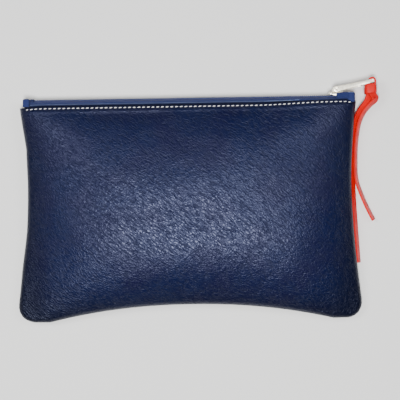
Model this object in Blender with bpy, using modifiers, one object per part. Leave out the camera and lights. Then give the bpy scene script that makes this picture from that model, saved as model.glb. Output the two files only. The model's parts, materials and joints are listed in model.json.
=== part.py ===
"""A flat leather zip pouch, as used for carrying cash deposits, lying on its back panel.

+X runs along the zip, +Y from the bottom seam to the zip, +Z up out of the table. The origin is on the table,
under the middle of the pouch. Every length is in metres.

Two leather panels are sewn together round the sides and the bottom and turned, so that each ends in a
rounded edge at the seam. A coil zip closes the top: its tapes run flat beside the coils and fold down under
the lips of the panels. A leather thong is hitched through the slot of the metal pull.
"""

import math

import bmesh
import bpy
from mathutils import Matrix, Vector

# The pouch
CORNER_HALF_WIDTH = 0.1313
WAIST_HALF_WIDTH = 0.1241
TOP_HALF_WIDTH = 0.1284
WAIST_Y = 0.020
LIP_Y = 0.0790
BOTTOM_MIDDLE_Y = -0.0739
CORNER_DROP = 0.0142
CORNER_DROP_X = 0.119
CORNER_RADIUS = 0.0115
ARCH_END = 0.1120
FRONT_RISE = 0.0200
BACK_DEPTH = 0.0140
CORNER_SINK = 0.0055

# Its materials
LEATHER = 0.0014
LINING = 0.0005
TAPE = 0.0006
TAPE_GAP = 0.0005
THREAD = 0.0007
SEAM_THREAD = 0.0005
SEAM_TOP_Y = 0.0740
SEAM_CLEARANCE = 0.0009
STITCH_DROP = 0.0017
STITCH_REACH = 0.1235
GAP = 0.0003
HALF_GAP = GAP / 2
PAST = 0.001  # how far a cutter reaches past what it cuts
LAP = 0.0004  # how far a joined piece reaches into its neighbour
EDGE = 0.0032

# The zip
CHAIN_Z = 0.0100
TAPE_Y = 0.0824
LIP_HEIGHT = 0.0078
TAPE_INNER = 0.0015
TAPE_FOLD = 0.0051
TAPE_MIDDLE = 0.0035
TAPE_UNDER_LIP = 0.0090
COIL_HALF_WIDTH = 0.0031
COIL_HEIGHT = 0.0020
COIL_PARTING = 0.0020
COIL_Y = TAPE_Y + GAP + COIL_HEIGHT / 2
ZIP_END = 0.1213
STOP_LENGTH = 0.0015
BOTTOM_STOP_LENGTH = 0.0028
STOP_HEIGHT = 0.0024
STOP_INNER = 0.0010
STOP_OUTER = 0.0034
TAB_LENGTH = 0.0063
TAB_HALF_DEPTH = 0.0028
RIGHT_TAB_TOP = 0.0868
LEFT_TAB_TOP = 0.0858

# The slider and its pull
SLIDER_LENGTH = 0.0118
SLIDER_HALF_WIDTH = 0.0045
SLIDER_PLATE = 0.0012
UNDER_PLATE_INSET = 0.0008
SLIDER_X = ZIP_END - STOP_LENGTH - GAP - SLIDER_LENGTH / 2
PLATE_Y = COIL_Y + COIL_HEIGHT / 2 + GAP + SLIDER_PLATE
NECK_HALF_WIDTH = 0.0011
PIVOT = Vector((SLIDER_X + 0.0002, 0.0890, CHAIN_Z))
BAR_RADIUS = 0.0010
BRIDGE_RADIUS = 0.0027
BRIDGE_HALF_WIDTH = 0.0014
PULL_LENGTH = 0.0297
PULL_ANGLE = math.radians(12.3)
PULL_HALF_WIDTH = 0.0046
PULL_THICK = 0.0036
PULL_THIN = 0.0024
EYE_HALF_WIDTH = 0.0019
EYE_LENGTH = 0.0045
SLOT_HALF_WIDTH = 0.0033
SLOT_LENGTH = 0.0042
END_BAR = 0.0026

# The thong
STRIP_WIDTH = 0.0055
STRIP = 0.0016
LOOP_RADIUS = 0.0019
LOOP_LEG = 0.0006
BAND_LENGTH = 0.0066
BAND_HALF_WIDTH = 0.0044
BAND_HALF_DEPTH = 0.0046
BAND_SHIFT = 0.0012
TAIL_REST_Z = STRIP_WIDTH / 2 + 0.0002

NAVY = (0.012, 0.024, 0.085, 1)
NAVY_TAPE = (0.020, 0.040, 0.160, 1)
NAVY_LINING = (0.030, 0.040, 0.090, 1)
CREAM = (0.600, 0.560, 0.500, 1)
NICKEL = (0.780, 0.740, 0.650, 1)
RED = (0.600, 0.010, 0.008, 1)

parts = bpy.data.collections.new("cash_deposit_pouch")
cutters = bpy.data.collections.new("cutters")


def clear_scene():
    for old in list(bpy.data.objects):
        bpy.data.objects.remove(old)
    for collection in (parts, cutters):
        bpy.context.scene.collection.children.link(collection)


def make_material(name, colour, roughness, metallic=0.0):
    material = bpy.data.materials.new(name)
    material.use_nodes = True
    shader = material.node_tree.nodes["Principled BSDF"]
    shader.inputs["Base Color"].default_value = colour
    shader.inputs["Roughness"].default_value = roughness
    shader.inputs["Metallic"].default_value = metallic
    return material


def object_from(name, bm, material, angle=40):
    """A mesh object of bm among the parts, shaded smooth below that angle in degrees."""
    mesh = bpy.data.meshes.new(name)
    bm.to_mesh(mesh)
    bm.free()
    mesh.shade_smooth()
    mesh.set_sharp_from_angle(angle=math.radians(angle))
    made = bpy.data.objects.new(name, mesh)
    made.data.materials.append(material)
    parts.objects.link(made)
    return made


# The pouch's shape -------------------------------------------------------------------------------


def half_width(y):
    """Half the pouch's width at that height: it pulls in at the waist, between its corners."""
    if y > WAIST_Y:
        share = (y - WAIST_Y) / (LIP_Y - WAIST_Y)
        return WAIST_HALF_WIDTH + (TOP_HALF_WIDTH - WAIST_HALF_WIDTH) * share**1.6
    share = (WAIST_Y - y) / (WAIST_Y - BOTTOM_MIDDLE_Y)
    return WAIST_HALF_WIDTH + (CORNER_HALF_WIDTH - WAIST_HALF_WIDTH) * min(share, 1) ** 1.8


def bottom_edge(x):
    """The bottom seam's y, which arches up between the corners."""
    return BOTTOM_MIDDLE_Y - CORNER_DROP * (min(abs(x), ARCH_END) / CORNER_DROP_X) ** 2.13


def seam_z(across, up):
    """The seam's height over the table, for shares -1 to 1 across the pouch and up it."""
    return CHAIN_Z - CORNER_SINK * abs(across) ** 4 * ((1 - up) / 2) ** 2


def swell(across, up, rise, sharpness):
    """How far a panel stands off the seam's height, beyond its rounded edge."""
    power = sharpness + (24 - sharpness) * max(up, 0) ** 6
    sides = 1 - abs(across) ** power
    if up < 0:
        return rise * sides * (1 - abs(up) ** 3.2)
    lip = (LIP_HEIGHT - EDGE) / rise
    return rise * sides * (1 - (1 - lip) * up**2.2)


def rounded_corner(x, y, inset):
    """The point moved so that the outline's square bottom corners, that far in from the seam, turn round."""
    radius = CORNER_RADIUS - inset
    a = radius - (half_width(y) - inset - abs(x))
    b = radius - (y - inset - bottom_edge(x))
    if a <= 0 or b <= 0:
        return x, y
    squeeze = 1 - max(a, b) / math.hypot(a, b)
    return math.copysign(abs(x) - a * squeeze, x), y + b * squeeze


# Distance in from the seam and height over it, from the inner end of a panel's rounded edge to the seam.
LEATHER_RIM = [(EDGE, EDGE), (0.5 * EDGE, 0.92 * EDGE), (0.16 * EDGE, 0.64 * EDGE), (0, 0.30 * EDGE)]
LEATHER_RIM += [(0, HALF_GAP)]
LINING_INSET = LEATHER + TAPE_GAP + TAPE + 2 * GAP
LINING_RIM = [(EDGE + 0.001, EDGE - LINING_INSET), (LINING_INSET, HALF_GAP + LINING)]


def shares_at(x, y):
    """How far across and up the pouch a point is, each from -1 to 1."""
    across = max(-1, min(1, x / half_width(y)))
    bottom = bottom_edge(across * CORNER_HALF_WIDTH)
    return across, max(-1, min(1, 2 * (y - bottom) / (LIP_Y - bottom) - 1))


def panel_height(x, y, edge_height, side, floor):
    """A panel's height over the table. side is 1 on the front panel, -1 on the back one, which lies flat."""
    across, up = shares_at(x, y)
    base = seam_z(across, up)
    if side > 0:
        return base + edge_height + swell(across, up, FRONT_RISE, 4)
    return max(floor, base - edge_height - swell(across, up, BACK_DEPTH, 8))


def grown_ring(bm, chain):
    """New vertices joined to a chain of boundary vertices, in the same order."""
    edges = [bm.edges.get(pair) for pair in zip(chain, chain[1:], strict=False)]
    grown = set(bmesh.ops.extrude_edge_only(bm, edges=edges)["geom"])
    return [next(e.other_vert(v) for e in v.link_edges if e.other_vert(v) in grown) for v in chain]


def outward(before, after):
    """The direction out of the outline, halfway between two points of a chain that runs right to left."""
    along = (after.co - before.co).to_2d().normalized()
    return Vector((-along.y, along.x))


def panel(name, rim, across, up, thickness, side, material):
    """A panel as an open grid with a rounded edge grown round its sides and bottom, thickened by Solidify."""
    columns, rows = [-1, *across, 1], [-1, *up]
    inset, height = rim[0]
    floor = EDGE - height
    bm = bmesh.new()
    bmesh.ops.create_grid(bm, x_segments=len(columns) - 1, y_segments=len(rows) - 1, size=1)
    bm.verts.ensure_lookup_table()
    grid = [bm.verts[i : i + len(columns)] for i in range(0, len(bm.verts), len(columns))]
    for share_up, row in zip(rows, grid, strict=True):
        for share_across, vert in zip(columns, row, strict=True):
            bottom = bottom_edge(share_across * CORNER_HALF_WIDTH) + inset
            y = bottom + (LIP_Y - bottom) * (share_up + 1) / 2
            x, y = rounded_corner(share_across * (half_width(y) - inset), y, inset)
            vert.co = (x, y, panel_height(x, y, height, side, floor))
    left, right = [row[0] for row in grid], [row[-1] for row in grid]
    chain = [*left[::-1], *grid[0][1:-1], *right]
    directions = [outward(chain[min(i + 1, len(chain) - 1)], chain[max(i - 1, 0)]) for i in range(len(chain))]
    starts = [vert.co.to_2d() for vert in chain]
    for ring_inset, ring_height in rim[1:]:
        chain = grown_ring(bm, chain)
        for vert, start, direction in zip(chain, starts, directions, strict=True):
            x, y = start + direction * (inset - ring_inset)
            vert.co = (x, y, panel_height(x, y, ring_height, side, floor))
    if side < 0:
        bmesh.ops.reverse_faces(bm, faces=bm.faces)
    made = object_from(name, bm, material)
    wall = made.modifiers.new("wall", "SOLIDIFY")
    wall.thickness = thickness
    wall.offset = -1
    return made


def mirrored(shares):
    """The shares, which fall towards the middle, on both sides of it."""
    return [-share for share in shares] + [0] + shares[::-1]


def make_panels(leather, fabric):
    across = mirrored([0.965, 0.93, 0.87, 0.78, 0.67, 0.55, 0.42, 0.28, 0.14])
    up = [-0.94, -0.86, -0.74, -0.57, -0.35, -0.10, 0.16, 0.41, 0.63, 0.80, 0.91, 1.0]
    coarse_across = mirrored([0.92, 0.84, 0.70, 0.50, 0.26])
    coarse_up = [-0.86, -0.68, -0.44, -0.14, 0.18, 0.48, 0.74, 0.89, 0.965]
    for label, side in (("front", 1), ("back", -1)):
        panel(f"{label}_panel", LEATHER_RIM, across, up, LEATHER, side, leather)
        panel(f"{label}_lining", LINING_RIM, coarse_across, coarse_up, LINING, side, fabric)


def leather_height(x, y, side):
    """The height of a panel's outer face at a point inside its rounded edge."""
    return panel_height(x, y, EDGE, side, 0)


# Threads -----------------------------------------------------------------------------------------


def tube(name, points, diameter, material, resolution=1):
    """A round cord through the points, with filled ends."""
    curve = bpy.data.curves.new(name, "CURVE")
    curve.dimensions = "3D"
    curve.bevel_depth = diameter / 2
    curve.bevel_resolution = resolution
    curve.use_fill_caps = True
    spline = curve.splines.new("POLY")
    spline.points.add(len(points) - 1)
    for point, place in zip(spline.points, points, strict=True):
        point.co = (*place, 1)
    made = bpy.data.objects.new(name, curve)
    made.data.materials.append(material)
    parts.objects.link(made)
    return made


def make_topstitching(thread):
    """The thread that holds each lip to its tape, lying on the leather just below the lip."""
    y = LIP_Y - STITCH_DROP
    count = 33
    for label, side in (("front", 1), ("back", -1)):
        points = []
        for i in range(count):
            x = STITCH_REACH * (2 * i / (count - 1) - 1)
            points.append((x, y, leather_height(x, y, side) + side * (THREAD / 2 + GAP)))
        tube(f"{label}_topstitch", points, THREAD, thread)


def seam_path(inset):
    """The outline of the sides and the bottom, that far in from the seam, from one end tab to the other."""
    radius = CORNER_RADIUS - inset
    turns = 6
    right = []
    corner_y = bottom_edge(CORNER_HALF_WIDTH) + CORNER_RADIUS
    corner_x = half_width(corner_y) - CORNER_RADIUS
    sides = 12
    for i in range(sides):
        y = SEAM_TOP_Y - (SEAM_TOP_Y - corner_y) * i / sides
        right.append((half_width(y) - inset, y))
    for i in range(turns + 1):
        angle = -math.pi / 2 * i / turns
        right.append((corner_x + radius * math.cos(angle), corner_y + radius * math.sin(angle)))
    bottoms = 12
    for i in range(bottoms):
        x = ARCH_END * (1 - i / bottoms)
        right.append((x, bottom_edge(x) + inset))
    left = [(-x, y) for x, y in reversed(right)]
    outline = right + [(0, BOTTOM_MIDDLE_Y + inset)] + left
    path = []
    for x, y in outline:
        path.append((x, y, seam_z(*shares_at(x, y))))
    return path


def make_seam_stitching(thread):
    """The thread of the hidden seam, in the space between the leather's wall and the lining."""
    tube("seam_stitching", seam_path(LEATHER + SEAM_CLEARANCE), SEAM_THREAD, thread)


# The zip -----------------------------------------------------------------------------------------


def make_tape(label, side, material):
    """A woven tape: flat beside the coil, folded down outside the slider, then under the lip of its panel."""
    count = 29
    under = [LIP_Y - 0.0005, LIP_Y - TAPE_UNDER_LIP / 2, LIP_Y - TAPE_UNDER_LIP]
    bm = bmesh.new()
    rows = 3 + len(under)
    bmesh.ops.create_grid(bm, x_segments=count - 1, y_segments=rows - 1, size=1)
    for index, vert in enumerate(bm.verts):
        row, column = divmod(index, count)
        x = ZIP_END * (2 * column / (count - 1) - 1)
        lip = abs(leather_height(x, LIP_Y, side) - CHAIN_Z) / LIP_HEIGHT
        if row < 3:
            off = (TAPE_INNER, TAPE_MIDDLE, TAPE_FOLD * lip)[row]
            vert.co = (x, TAPE_Y, CHAIN_Z + side * off)
        else:
            y = under[row - 3]
            vert.co = (x, y, leather_height(x, y, side) - side * (LEATHER + TAPE_GAP))
    if side > 0:
        bmesh.ops.reverse_faces(bm, faces=bm.faces)
    made = object_from(f"{label}_tape", bm, material)
    wall = made.modifiers.new("wall", "SOLIDIFY")
    wall.thickness = TAPE
    wall.offset = -1
    return made


def block(name, low, high, material, bevel=0.0, segments=2):
    """A box between two corners, its edges rounded."""
    bm = bmesh.new()
    bmesh.ops.create_cube(bm, size=1)
    for vert in bm.verts:
        vert.co = [low[k] + (high[k] - low[k]) * (vert.co[k] + 0.5) for k in range(3)]
    if bevel:
        bmesh.ops.bevel(bm, geom=bm.edges, offset=bevel, segments=segments, profile=0.5, affect="EDGES")
    return object_from(name, bm, material)


def make_coil(label, side, material):
    """The envelope of one coil. Near the slider's throat it bears away from the other one, round the neck."""
    start = -ZIP_END + BOTTOM_STOP_LENGTH + GAP
    end = ZIP_END - STOP_LENGTH - GAP
    near, far = sorted((side * HALF_GAP, side * COIL_HALF_WIDTH))
    made = block(f"{label}_coil", (start, COIL_Y - COIL_HEIGHT / 2, CHAIN_Z + near),
                 (end, COIL_Y + COIL_HEIGHT / 2, CHAIN_Z + far), material)
    bm = bmesh.new()
    bm.from_mesh(made.data)
    throat = SLIDER_X - 0.0010
    for x in (throat, throat + COIL_PARTING, throat + 2 * COIL_PARTING):
        every = bm.verts[:] + bm.edges[:] + bm.faces[:]
        bmesh.ops.bisect_plane(bm, geom=every, plane_co=(x, 0, 0), plane_no=(1, 0, 0))
    shift = NECK_HALF_WIDTH + GAP - HALF_GAP
    for vert in bm.verts:
        inner = abs(vert.co.z - CHAIN_Z) < COIL_HALF_WIDTH / 2
        share = max(0.0, min(1.0, (vert.co.x - throat) / COIL_PARTING))
        if inner:
            vert.co.z += side * shift * share
    bm.to_mesh(made.data)
    bm.free()


def make_stops(material):
    """A stop on each tape at the closed end, and one across both tapes at the other."""
    low_y, high_y = COIL_Y - COIL_HEIGHT / 2, COIL_Y - COIL_HEIGHT / 2 + STOP_HEIGHT
    for label, side in (("front", 1), ("back", -1)):
        near, far = sorted((side * STOP_INNER, side * STOP_OUTER))
        block(f"{label}_top_stop", (ZIP_END - STOP_LENGTH, low_y, CHAIN_Z + near),
              (ZIP_END, high_y, CHAIN_Z + far), material, 0.0003)
    block("bottom_stop", (-ZIP_END, low_y, CHAIN_Z - STOP_OUTER),
          (-ZIP_END + BOTTOM_STOP_LENGTH, high_y, CHAIN_Z + STOP_OUTER), material, 0.0004)


def make_end_tabs(material):
    """Folded tape that caps each end of the zip between the lips. The one at the closed end stands higher."""
    low_y = LIP_Y + GAP
    near = ZIP_END + GAP
    for label, side, top in (("right", 1, RIGHT_TAB_TOP), ("left", -1, LEFT_TAB_TOP)):
        low_x, high_x = sorted((side * near, side * (near + TAB_LENGTH)))
        block(f"{label}_end_tab", (low_x, low_y, CHAIN_Z - TAB_HALF_DEPTH),
              (high_x, top, CHAIN_Z + TAB_HALF_DEPTH), material, 0.0010, 3)


# The slider and its pull -------------------------------------------------------------------------


def helper(name, bm):
    """A hidden object that a Boolean uses."""
    mesh = bpy.data.meshes.new(name)
    bm.to_mesh(mesh)
    bm.free()
    made = bpy.data.objects.new(name, mesh)
    made.hide_render = True
    made.display_type = "WIRE"
    cutters.objects.link(made)
    return made


def box_helper(name, low, high, turn=None):
    bm = bmesh.new()
    bmesh.ops.create_cube(bm, size=1)
    for vert in bm.verts:
        vert.co = [low[k] + (high[k] - low[k]) * (vert.co[k] + 0.5) for k in range(3)]
    if turn:
        bm.transform(turn)
    return helper(name, bm)


def disc_helper(name, centre, radius, low_z, high_z, segments=24):
    bm = bmesh.new()
    depth = high_z - low_z
    bmesh.ops.create_cone(bm, cap_ends=True, segments=segments, radius1=radius, radius2=radius, depth=depth)
    bm.transform(Matrix.Translation((centre[0], centre[1], (low_z + high_z) / 2)))
    return helper(name, bm)


def combine(base, other, operation):
    step = base.modifiers.new(f"{operation.lower()}_{other.name}", "BOOLEAN")
    step.operation = operation
    step.object = other


def make_slider(metal):
    """One casting: a plate over the coils and one under the tapes, joined by a neck, and a bridge on top."""
    start, end = SLIDER_X - SLIDER_LENGTH / 2, SLIDER_X + SLIDER_LENGTH / 2
    low_z, high_z = CHAIN_Z - SLIDER_HALF_WIDTH, CHAIN_Z + SLIDER_HALF_WIDTH
    under_y = TAPE_Y - TAPE - GAP
    made = block("slider_body", (start, PLATE_Y - SLIDER_PLATE, low_z), (end, PLATE_Y, high_z), metal, 0.0004)
    combine(made, box_helper("under_plate", (start + LAP, under_y - SLIDER_PLATE, low_z + UNDER_PLATE_INSET),
                             (end - LAP, under_y, high_z - UNDER_PLATE_INSET)), "UNION")
    combine(made, box_helper("neck", (end - 0.0042, under_y - LAP, CHAIN_Z - NECK_HALF_WIDTH + 0.0001),
                             (end - 0.0006, PLATE_Y - LAP, CHAIN_Z + NECK_HALF_WIDTH - 0.0001)), "UNION")
    flange_low = TAPE_Y + GAP + 0.0003
    wall = SLIDER_HALF_WIDTH - COIL_HALF_WIDTH - GAP
    for label, side in (("front", 1), ("back", -1)):
        near, far = sorted((side * (SLIDER_HALF_WIDTH - wall), side * (SLIDER_HALF_WIDTH - 0.0001)))
        flange = box_helper(f"{label}_flange", (start + 0.0005, flange_low, CHAIN_Z + near),
                            (end - 0.0005, PLATE_Y - LAP, CHAIN_Z + far))
        combine(made, flange, "UNION")
    bridge_low, bridge_high = CHAIN_Z - BRIDGE_HALF_WIDTH, CHAIN_Z + BRIDGE_HALF_WIDTH
    foot_reach = BRIDGE_RADIUS - 0.0002
    combine(made, box_helper("bridge_foot", (PIVOT.x - foot_reach, PLATE_Y - LAP, bridge_low + 0.0001),
                             (PIVOT.x + foot_reach, PIVOT.y, bridge_high - 0.0001)), "UNION")
    combine(made, disc_helper("bridge", PIVOT, BRIDGE_RADIUS, bridge_low, bridge_high), "UNION")
    hole = disc_helper("bar_hole", PIVOT, BAR_RADIUS + GAP, bridge_low - PAST, bridge_high + PAST)
    combine(made, hole, "DIFFERENCE")


def along_pull(distance, off=0.0):
    """A point in the pull's own plane: that far from the pivot towards its tip, and off above it."""
    along = Vector((math.cos(PULL_ANGLE), math.sin(PULL_ANGLE), 0))
    above = Vector((-along.y, along.x, 0))
    return PIVOT + along * distance + above * off


END_BAR_X = PULL_LENGTH - END_BAR / 2
LOOP_CENTRE = along_pull(END_BAR_X)


def make_pull(metal):
    """A tapering plate, edge-on to the zip, with an eye round the bridge and a slot for the thong."""
    turn = Matrix.Translation(PIVOT) @ Matrix.Rotation(PULL_ANGLE, 4, "Z")
    bm = bmesh.new()
    bmesh.ops.create_cube(bm, size=1)
    for vert in bm.verts:
        tip = vert.co.x > 0
        vert.co.x = PULL_LENGTH if tip else 0
        vert.co.y *= PULL_THIN if tip else PULL_THICK
        vert.co.z *= 2 * PULL_HALF_WIDTH
    bmesh.ops.bevel(bm, geom=bm.edges, offset=0.0005, segments=2, profile=0.5, affect="EDGES")
    bm.transform(turn)
    made = object_from("pull_tab", bm, metal)
    knuckle = disc_helper("pull_knuckle", PIVOT, PULL_THICK / 2 + 0.0002,
                          CHAIN_Z - PULL_HALF_WIDTH + 0.0004, CHAIN_Z + PULL_HALF_WIDTH - 0.0004)
    combine(made, knuckle, "UNION")
    deep = PULL_THICK
    eye = box_helper("pull_eye", (-0.005, -deep, -EYE_HALF_WIDTH), (EYE_LENGTH, deep, EYE_HALF_WIDTH), turn)
    slot_start = PULL_LENGTH - END_BAR - SLOT_LENGTH
    slot = box_helper("pull_slot", (slot_start, -deep, -SLOT_HALF_WIDTH),
                      (slot_start + SLOT_LENGTH, deep, SLOT_HALF_WIDTH), turn)
    combine(made, eye, "DIFFERENCE")
    combine(made, slot, "DIFFERENCE")
    bar_reach = EYE_HALF_WIDTH + PAST
    bar = disc_helper("pull_bar", PIVOT, BAR_RADIUS, CHAIN_Z - bar_reach, CHAIN_Z + bar_reach)
    combine(made, bar, "UNION")


# The thong ---------------------------------------------------------------------------------------

# Each tail's route from under the band, as (x, y, z) points, down onto the table and along the pouch.
LONG_TAIL = [(0.1392, 0.0851, 0.0098), (0.1371, 0.0793, 0.0088), (0.1329, 0.0722, 0.0070),
             (0.1297, 0.0640, 0.0052), (0.1279, 0.0540, 0.0038), (0.1270, 0.0430, TAIL_REST_Z),
             (0.1266, 0.0300, TAIL_REST_Z), (0.1266, 0.0170, TAIL_REST_Z), (0.1271, 0.0030, TAIL_REST_Z),
             (0.1280, -0.0120, TAIL_REST_Z), (0.1291, -0.0280, TAIL_REST_Z), (0.1302, -0.0449, TAIL_REST_Z)]
SHORT_TAIL = [(0.1429, 0.0850, 0.0098), (0.1442, 0.0838, 0.0097), (0.1456, 0.0824, 0.0095),
              (0.1444, 0.0803, 0.0090), (0.1404, 0.0770, 0.0082), (0.1358, 0.0720, 0.0070),
              (0.1321, 0.0642, 0.0052), (0.1301, 0.0540, 0.0038), (0.1291, 0.0430, TAIL_REST_Z),
              (0.1288, 0.0320, TAIL_REST_Z), (0.1290, 0.0240, TAIL_REST_Z), (0.1303, 0.0163, TAIL_REST_Z),
              (0.1332, 0.0080, TAIL_REST_Z), (0.1370, -0.0012, TAIL_REST_Z), (0.1423, -0.0120, TAIL_REST_Z)]


def smooth_route(points, steps):
    """A Catmull-Rom curve through the points, with that many steps between each two."""
    spots = [Vector(p) for p in points]
    spots = [2 * spots[0] - spots[1], *spots, 2 * spots[-1] - spots[-2]]
    route = []
    for i in range(1, len(spots) - 2):
        a, b, c, d = spots[i - 1 : i + 3]
        for k in range(steps):
            t = k / steps
            route.append(0.5 * (2 * b + (c - a) * t + (2 * a - 5 * b + 4 * c - d) * t**2
                                + (3 * b - a - 3 * c + d) * t**3))
    return [*route, spots[-2]]


def strip_along(name, route, material):
    """A flat strip standing on its edge along a route: a grid round its section, closed at both ends."""
    half, tall = STRIP / 2, STRIP_WIDTH / 2
    section = [(-half, -tall), (half, -tall), (half, tall), (-half, tall)]
    bm = bmesh.new()
    rings = []
    for i, place in enumerate(route):
        ahead = route[min(i + 1, len(route) - 1)] - route[max(i - 1, 0)]
        across = ahead.cross(Vector((0, 0, 1))).normalized()
        rings.append([bm.verts.new(place + across * a + Vector((0, 0, b))) for a, b in section])
    edges = [[bm.edges.new((ring[k], ring[(k + 1) % 4])) for k in range(4)] for ring in rings]
    for first, second in zip(edges, edges[1:], strict=False):
        bmesh.ops.bridge_loops(bm, edges=first + second)
    for ring in (rings[0], rings[-1]):
        bmesh.ops.contextual_create(bm, geom=ring)
    bmesh.ops.recalc_face_normals(bm, faces=bm.faces)
    return object_from(name, bm, material, 30)


def make_loop(leather):
    """The strip where it passes through the slot and round the pull's end bar, with both legs down."""
    inner, outer = LOOP_RADIUS, LOOP_RADIUS + STRIP
    low_z, high_z = CHAIN_Z - STRIP_WIDTH / 2, CHAIN_Z + STRIP_WIDTH / 2
    leg_low = LOOP_CENTRE.y - LOOP_RADIUS - LOOP_LEG
    made = block("thong_loop", (LOOP_CENTRE.x - outer, leg_low, low_z),
                 (LOOP_CENTRE.x + outer, LOOP_CENTRE.y, high_z), leather)
    combine(made, disc_helper("loop_outside", LOOP_CENTRE, outer, low_z, high_z), "UNION")
    combine(made, disc_helper("loop_inside", LOOP_CENTRE, inner, low_z - PAST, high_z + PAST), "DIFFERENCE")
    gap = box_helper("loop_between", (LOOP_CENTRE.x - inner, leg_low - PAST, low_z - PAST),
                     (LOOP_CENTRE.x + inner, LOOP_CENTRE.y, high_z + PAST))
    combine(made, gap, "DIFFERENCE")
    below = box_helper("loop_below", (LOOP_CENTRE.x - 2 * outer, leg_low - outer, low_z - PAST),
                       (LOOP_CENTRE.x + 2 * outer, leg_low, high_z + PAST))
    combine(made, below, "DIFFERENCE")
    return leg_low


def make_thong(leather):
    """One strip of leather, hitched to the pull: its loop, the band wrapped round it, and two tails."""
    leg_low = make_loop(leather)
    band_high = leg_low - GAP
    centre_x = LOOP_CENTRE.x - BAND_SHIFT
    block("thong_band", (centre_x - BAND_HALF_WIDTH, band_high - BAND_LENGTH, CHAIN_Z - BAND_HALF_DEPTH),
          (centre_x + BAND_HALF_WIDTH, band_high, CHAIN_Z + BAND_HALF_DEPTH), leather, 0.0016, 3)
    for name, points in (("thong_long_tail", LONG_TAIL), ("thong_short_tail", SHORT_TAIL)):
        route = smooth_route(points, 3)
        strip_along(name, route, leather)


def main():
    clear_scene()
    leather = make_material("navy_leather", NAVY, 0.5)
    fabric = make_material("navy_lining", NAVY_LINING, 0.8)
    webbing = make_material("navy_tape", NAVY_TAPE, 0.7)
    cream_thread = make_material("cream_thread", CREAM, 0.6)
    navy_thread = make_material("navy_thread", NAVY, 0.6)
    nickel = make_material("nickel", NICKEL, 0.25, 1.0)
    red_leather = make_material("red_leather", RED, 0.45)
    make_panels(leather, fabric)
    make_topstitching(cream_thread)
    make_seam_stitching(navy_thread)
    for label, side in (("front", 1), ("back", -1)):
        make_tape(label, side, webbing)
        make_coil(label, side, webbing)
    make_stops(webbing)
    make_end_tabs(webbing)
    make_slider(nickel)
    make_pull(nickel)
    make_thong(red_leather)


main()
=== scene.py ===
"""Looks of a flat leather zip pouch that lies on its back panel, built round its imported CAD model.

+X runs along the zip, +Y from the bottom seam to the zip, +Z up. Every length is in metres. Each operator
models one piece, or one group of like pieces, where the CAD model has it.
"""

import json
import math

import bpy
import numpy as np
from bpy.props import FloatProperty, FloatVectorProperty, IntProperty, PointerProperty
from mathutils import Matrix, Vector, noise


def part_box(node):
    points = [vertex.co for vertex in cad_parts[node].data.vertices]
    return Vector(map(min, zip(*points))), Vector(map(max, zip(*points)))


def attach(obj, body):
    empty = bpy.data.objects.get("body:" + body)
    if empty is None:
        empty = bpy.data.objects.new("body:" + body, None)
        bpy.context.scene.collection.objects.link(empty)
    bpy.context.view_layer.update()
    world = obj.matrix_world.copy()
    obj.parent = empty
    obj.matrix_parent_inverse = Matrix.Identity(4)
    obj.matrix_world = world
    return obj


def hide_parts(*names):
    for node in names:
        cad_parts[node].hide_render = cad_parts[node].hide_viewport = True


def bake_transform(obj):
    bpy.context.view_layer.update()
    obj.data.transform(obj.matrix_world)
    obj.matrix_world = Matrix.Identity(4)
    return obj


bl_info = {
    "name": "Zip Pouch",
    "version": (1, 0, 0),
    "blender": (4, 5, 0),
    "location": "View3D > Sidebar > Pouch",
    "description": "Models a leather zip pouch with a pull and a hitched thong",
    "category": "Object",
}

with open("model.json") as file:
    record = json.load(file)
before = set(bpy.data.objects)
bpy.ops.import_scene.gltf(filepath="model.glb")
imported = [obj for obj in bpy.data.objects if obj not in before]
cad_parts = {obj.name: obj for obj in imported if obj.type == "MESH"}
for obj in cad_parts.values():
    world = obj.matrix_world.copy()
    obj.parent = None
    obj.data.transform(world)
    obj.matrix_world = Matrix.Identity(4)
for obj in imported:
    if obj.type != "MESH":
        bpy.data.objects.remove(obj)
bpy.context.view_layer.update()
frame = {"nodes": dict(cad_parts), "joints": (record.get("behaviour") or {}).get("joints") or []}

PANEL_LOW, PANEL_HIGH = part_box("front_panel")
PULL_LOW, PULL_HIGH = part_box("pull_tab")
COIL_LOW, COIL_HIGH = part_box("front_coil")
SLIDER_LOW, SLIDER_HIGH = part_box("slider_body")
BAND_LOW, BAND_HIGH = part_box("thong_band")
LOOP_LOW, LOOP_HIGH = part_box("thong_loop")
JOINTS = {joint["name"]: joint for joint in frame["joints"]}
PIVOT = Vector(JOINTS["pull_swing"]["pos_m"])
END_BAR = Vector(JOINTS["thong_swing"]["pos_m"])
PULL_ANGLE = math.atan2(END_BAR.y - PIVOT.y, END_BAR.x - PIVOT.x)
CHAIN_Z = (PULL_LOW.z + PULL_HIGH.z) / 2
GAP = 0.0003
SIDES = (("front", 1), ("back", -1))

# The outline and the swell of the panels
CORNER_HALF_WIDTH = PANEL_HIGH.x + GAP
WAIST_HALF_WIDTH = CORNER_HALF_WIDTH - 0.0072
TOP_HALF_WIDTH = CORNER_HALF_WIDTH - 0.0029
WAIST_Y = 0.020
LIP_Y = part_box("left_end_tab")[0].y - GAP
BOTTOM_MIDDLE_Y = -0.0739
CORNER_DROP = 0.0142
CORNER_DROP_X = 0.119
ARCH_END = 0.1120
CORNER_RADIUS = 0.0115
FRONT_RISE = 0.0200
BACK_DEPTH = 0.0140
CORNER_SINK = 0.0055
LIP_HEIGHT = 0.0078
EDGE = 0.0032
LEATHER = 0.0014
SEAM_HEIGHT = 0.00005
STITCH_LINE_Y = LIP_Y - 0.0017
STITCH_REACH = 0.1262
ZIP_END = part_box("right_end_tab")[0].x - GAP
MOUTH_START = -0.1035
CREASE_TURN = math.radians(-38)

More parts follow.
